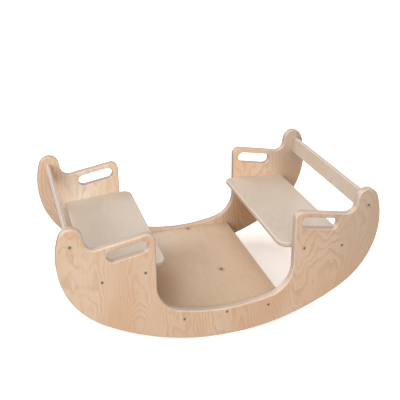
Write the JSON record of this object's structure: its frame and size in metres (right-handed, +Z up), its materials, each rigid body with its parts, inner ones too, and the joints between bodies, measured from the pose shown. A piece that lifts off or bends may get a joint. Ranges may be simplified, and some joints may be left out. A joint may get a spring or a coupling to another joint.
{
  "type": "two-seat rocker",
  "caption": "Low plywood rocker for two seated children: crescent side panels with hand slots, facing seats, back slats and a foot deck.",
  "frame": {"origin": "on the floor, midway between the side panels, under the middle of the rocker, where both panels touch the floor", "axes": "+X along the rocking direction, from the left seat to the right seat; +Y across, from the front panel to the rear panel; +Z up"},
  "size_m": [0.9408, 0.568, 0.4079],
  "materials": {
    "panel_plywood": "clear satin lacquer over birch veneer, plies showing on the edges",
    "seat_plywood": "clear satin lacquer over pale birch veneer, plies showing on the edges",
    "slat_plywood": "clear satin lacquer over pale birch veneer, plies showing on the edges",
    "deck_plywood": "clear satin lacquer over birch veneer with small knots",
    "screw_steel": "dark bronzed steel"
  },
  "bodies": {
    "root": {"side_panel_front": "panel_plywood", "side_panel_rear": "panel_plywood", "seat_left": "seat_plywood", "seat_right": "seat_plywood", "back_slat_left": "slat_plywood", "back_slat_right": "slat_plywood", "foot_deck": "deck_plywood", "screw_front_deck_left": "screw_steel", "screw_front_deck_middle": "screw_steel", "screw_front_deck_right": "screw_steel", "screw_front_seat_left_inner": "screw_steel", "screw_front_seat_left_outer": "screw_steel", "screw_front_slat_left": "screw_steel", "screw_front_seat_right_inner": "screw_steel", "screw_front_seat_right_outer": "screw_steel", "screw_front_slat_right": "screw_steel", "screw_rear_deck_left": "screw_steel", "screw_rear_deck_middle": "screw_steel", "screw_rear_deck_right": "screw_steel", "screw_rear_seat_left_inner": "screw_steel", "screw_rear_seat_left_outer": "screw_steel", "screw_rear_slat_left": "screw_steel", "screw_rear_seat_right_inner": "screw_steel", "screw_rear_seat_right_outer": "screw_steel", "screw_rear_slat_right": "screw_steel"}
  },
  "joints": []
}
